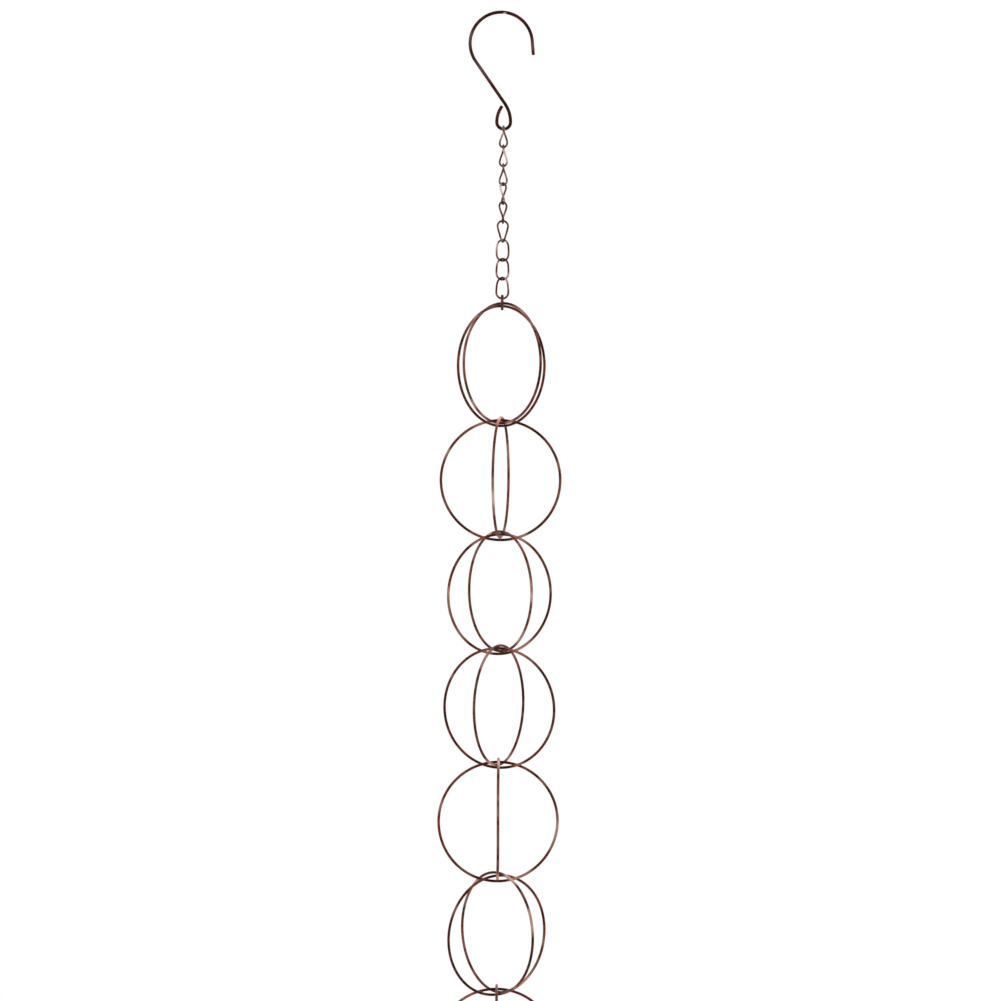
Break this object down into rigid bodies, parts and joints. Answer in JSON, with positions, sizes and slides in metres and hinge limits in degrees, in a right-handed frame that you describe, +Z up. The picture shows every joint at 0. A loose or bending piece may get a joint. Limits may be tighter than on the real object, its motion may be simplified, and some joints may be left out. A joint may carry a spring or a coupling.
{
  "type": "rain chain",
  "caption": "Hanging rain chain of crossed pairs of large wire rings, hung from a bent wire hook by a short chain of small twisted links.",
  "frame": {"origin": "seat of the hook, on the inside of the top of its crown, where the bar that holds it touches", "axes": "+Z up along the hanging chain, +X towards the open side of the hook, Y across the plane of the hook"},
  "size_m": [0.1, 0.1, 0.8985],
  "materials": {
    "hook_wire": "dark brown patina on copper wire, slightly glossy",
    "link_wire": "greyish brown patina on copper wire",
    "ring_wire": "brown patina on copper wire, rubbed bright copper where rings meet"
  },
  "bodies": {
    "hook": {"hook": "hook_wire"},
    "chain_link_1": {"chain_link_1": "link_wire"},
    "chain_link_2": {"chain_link_2": "link_wire"},
    "chain_link_3": {"chain_link_3": "link_wire"},
    "chain_link_4": {"chain_link_4": "link_wire"},
    "chain_link_5": {"chain_link_5": "link_wire"},
    "chain_link_6": {"chain_link_6": "link_wire"},
    "chain_link_7": {"chain_link_7": "link_wire"},
    "chain_link_8": {"chain_link_8": "link_wire"},
    "chain_link_9": {"chain_link_9": "link_wire"},
    "connector_ring": {"connector_ring": "link_wire"},
    "ring_1a": {"ring_1a": "ring_wire"},
    "ring_1b": {"ring_1b": "ring_wire"},
    "ring_2a": {"ring_2a": "ring_wire"},
    "ring_2b": {"ring_2b": "ring_wire"},
    "ring_3a": {"ring_3a": "ring_wire"},
    "ring_3b": {"ring_3b": "ring_wire"},
    "ring_4a": {"ring_4a": "ring_wire"},
    "ring_4b": {"ring_4b": "ring_wire"},
    "ring_5a": {"ring_5a": "ring_wire"},
    "ring_5b": {"ring_5b": "ring_wire"},
    "ring_6a": {"ring_6a": "ring_wire"},
    "ring_6b": {"ring_6b": "ring_wire"},
    "ring_7a": {"ring_7a": "ring_wire"},
    "ring_7b": {"ring_7b": "ring_wire"}
  },
  "joints": [
    {"name": "chain_link_1_swing", "type": "hinge", "parent": "hook", "child": "chain_link_1", "pos_m": [0, 0, -0.09353], "axis": [1, 0, 0], "range_deg": [-40, 40]},
    {"name": "chain_link_2_swing", "type": "hinge", "parent": "chain_link_1", "child": "chain_link_2", "pos_m": [0, 0, -0.10838], "axis": [-0.7071, 0.7071, 0], "range_deg": [-40, 40]},
    {"name": "chain_link_3_swing", "type": "hinge", "parent": "chain_link_2", "child": "chain_link_3", "pos_m": [0, 0, -0.12378], "axis": [0.7071, -0.7071, 0], "range_deg": [-40, 40]},
    {"name": "chain_link_4_swing", "type": "hinge", "parent": "chain_link_3", "child": "chain_link_4", "pos_m": [0, 0, -0.13918], "axis": [-0.7071, 0.7071, 0], "range_deg": [-40, 40]},
    {"name": "chain_link_5_swing", "type": "hinge", "parent": "chain_link_4", "child": "chain_link_5", "pos_m": [0, 0, -0.15458], "axis": [0.2588, -0.9659, 0], "range_deg": [-40, 40]},
    {"name": "chain_link_6_swing", "type": "hinge", "parent": "chain_link_5", "child": "chain_link_6", "pos_m": [0, 0, -0.16998], "axis": [-0.1219, 0.9925, 0], "range_deg": [-40, 40]},
    {"name": "chain_link_7_swing", "type": "hinge", "parent": "chain_link_6", "child": "chain_link_7", "pos_m": [0, 0, -0.18538], "axis": [-0.309, -0.9511, 0], "range_deg": [-40, 40]},
    {"name": "chain_link_8_swing", "type": "hinge", "parent": "chain_link_7", "child": "chain_link_8", "pos_m": [0, 0, -0.20078], "axis": [-0.9397, -0.342, 0], "range_deg": [-40, 40]},
    {"name": "chain_link_9_swing", "type": "hinge", "parent": "chain_link_8", "child": "chain_link_9", "pos_m": [0, 0, -0.21618], "axis": [0.9511, 0.309, 0], "range_deg": [-40, 40]},
    {"name": "connector_swing", "type": "hinge", "parent": "chain_link_9", "child": "connector_ring", "pos_m": [0, 0, -0.23158], "axis": [-0.9781, -0.2079, 0], "range_deg": [-30, 30]},
    {"name": "ring_1a_swing", "type": "hinge", "parent": "connector_ring", "child": "ring_1a", "pos_m": [0, 0, -0.24008], "axis": [0, 1, 0], "range_deg": [-10, 10]},
    {"name": "ring_1b_turn", "type": "hinge", "parent": "ring_1a", "child": "ring_1b", "pos_m": [0, 0, -0.28428], "axis": [0, 0, 1], "range_deg": [-5, 20]},
    {"name": "ring_2a_swing", "type": "hinge", "parent": "ring_1b", "child": "ring_2a", "pos_m": [0, 0, -0.33318], "axis": [0.6428, -0.766, 0], "range_deg": [-20, 20]},
    {"name": "ring_2b_turn", "type": "hinge", "parent": "ring_2a", "child": "ring_2b", "pos_m": [0, 0, -0.37748], "axis": [0, 0, 1], "range_deg": [-10, 20]},
    {"name": "ring_3a_swing", "type": "hinge", "parent": "ring_2b", "child": "ring_3a", "pos_m": [0, 0, -0.42638], "axis": [0.1392, 0.9903, 0], "range_deg": [-20, 20]},
    {"name": "ring_3b_turn", "type": "hinge", "parent": "ring_3a", "child": "ring_3b", "pos_m": [0, 0, -0.47068], "axis": [0, 0, 1], "range_deg": [-10, 20]},
    {"name": "ring_4a_swing", "type": "hinge", "parent": "ring_3b", "child": "ring_4a", "pos_m": [0, 0, -0.51958], "axis": [0.5299, -0.848, 0], "range_deg": [-20, 20]},
    {"name": "ring_4b_turn", "type": "hinge", "parent": "ring_4a", "child": "ring_4b", "pos_m": [0, 0, -0.56388], "axis": [0, 0, 1], "range_deg": [-10, 20]},
    {"name": "ring_5a_swing", "type": "hinge", "parent": "ring_4b", "child": "ring_5a", "pos_m": [0, 0, -0.61278], "axis": [0.4067, 0.9135, 0], "range_deg": [-20, 20]},
    {"name": "ring_5b_turn", "type": "hinge", "parent": "ring_5a", "child": "ring_5b", "pos_m": [0, 0, -0.65708], "axis": [0, 0, 1], "range_deg": [-10, 20]},
    {"name": "ring_6a_swing", "type": "hinge", "parent": "ring_5b", "child": "ring_6a", "pos_m": [0, 0, -0.70598], "axis": [0, -1, 0], "range_deg": [-20, 20]},
    {"name": "ring_6b_turn", "type": "hinge", "parent": "ring_6a", "child": "ring_6b", "pos_m": [0, 0, -0.75028], "axis": [0, 0, 1], "range_deg": [-10, 20]},
    {"name": "ring_7a_swing", "type": "hinge", "parent": "ring_6b", "child": "ring_7a", "pos_m": [0, 0, -0.79918], "axis": [-0.5878, 0.809, 0], "range_deg": [-20, 20]},
    {"name": "ring_7b_turn", "type": "hinge", "parent": "ring_7a", "child": "ring_7b", "pos_m": [0, 0, -0.84348], "axis": [0, 0, 1], "range_deg": [-10, 20]}
  ]
}
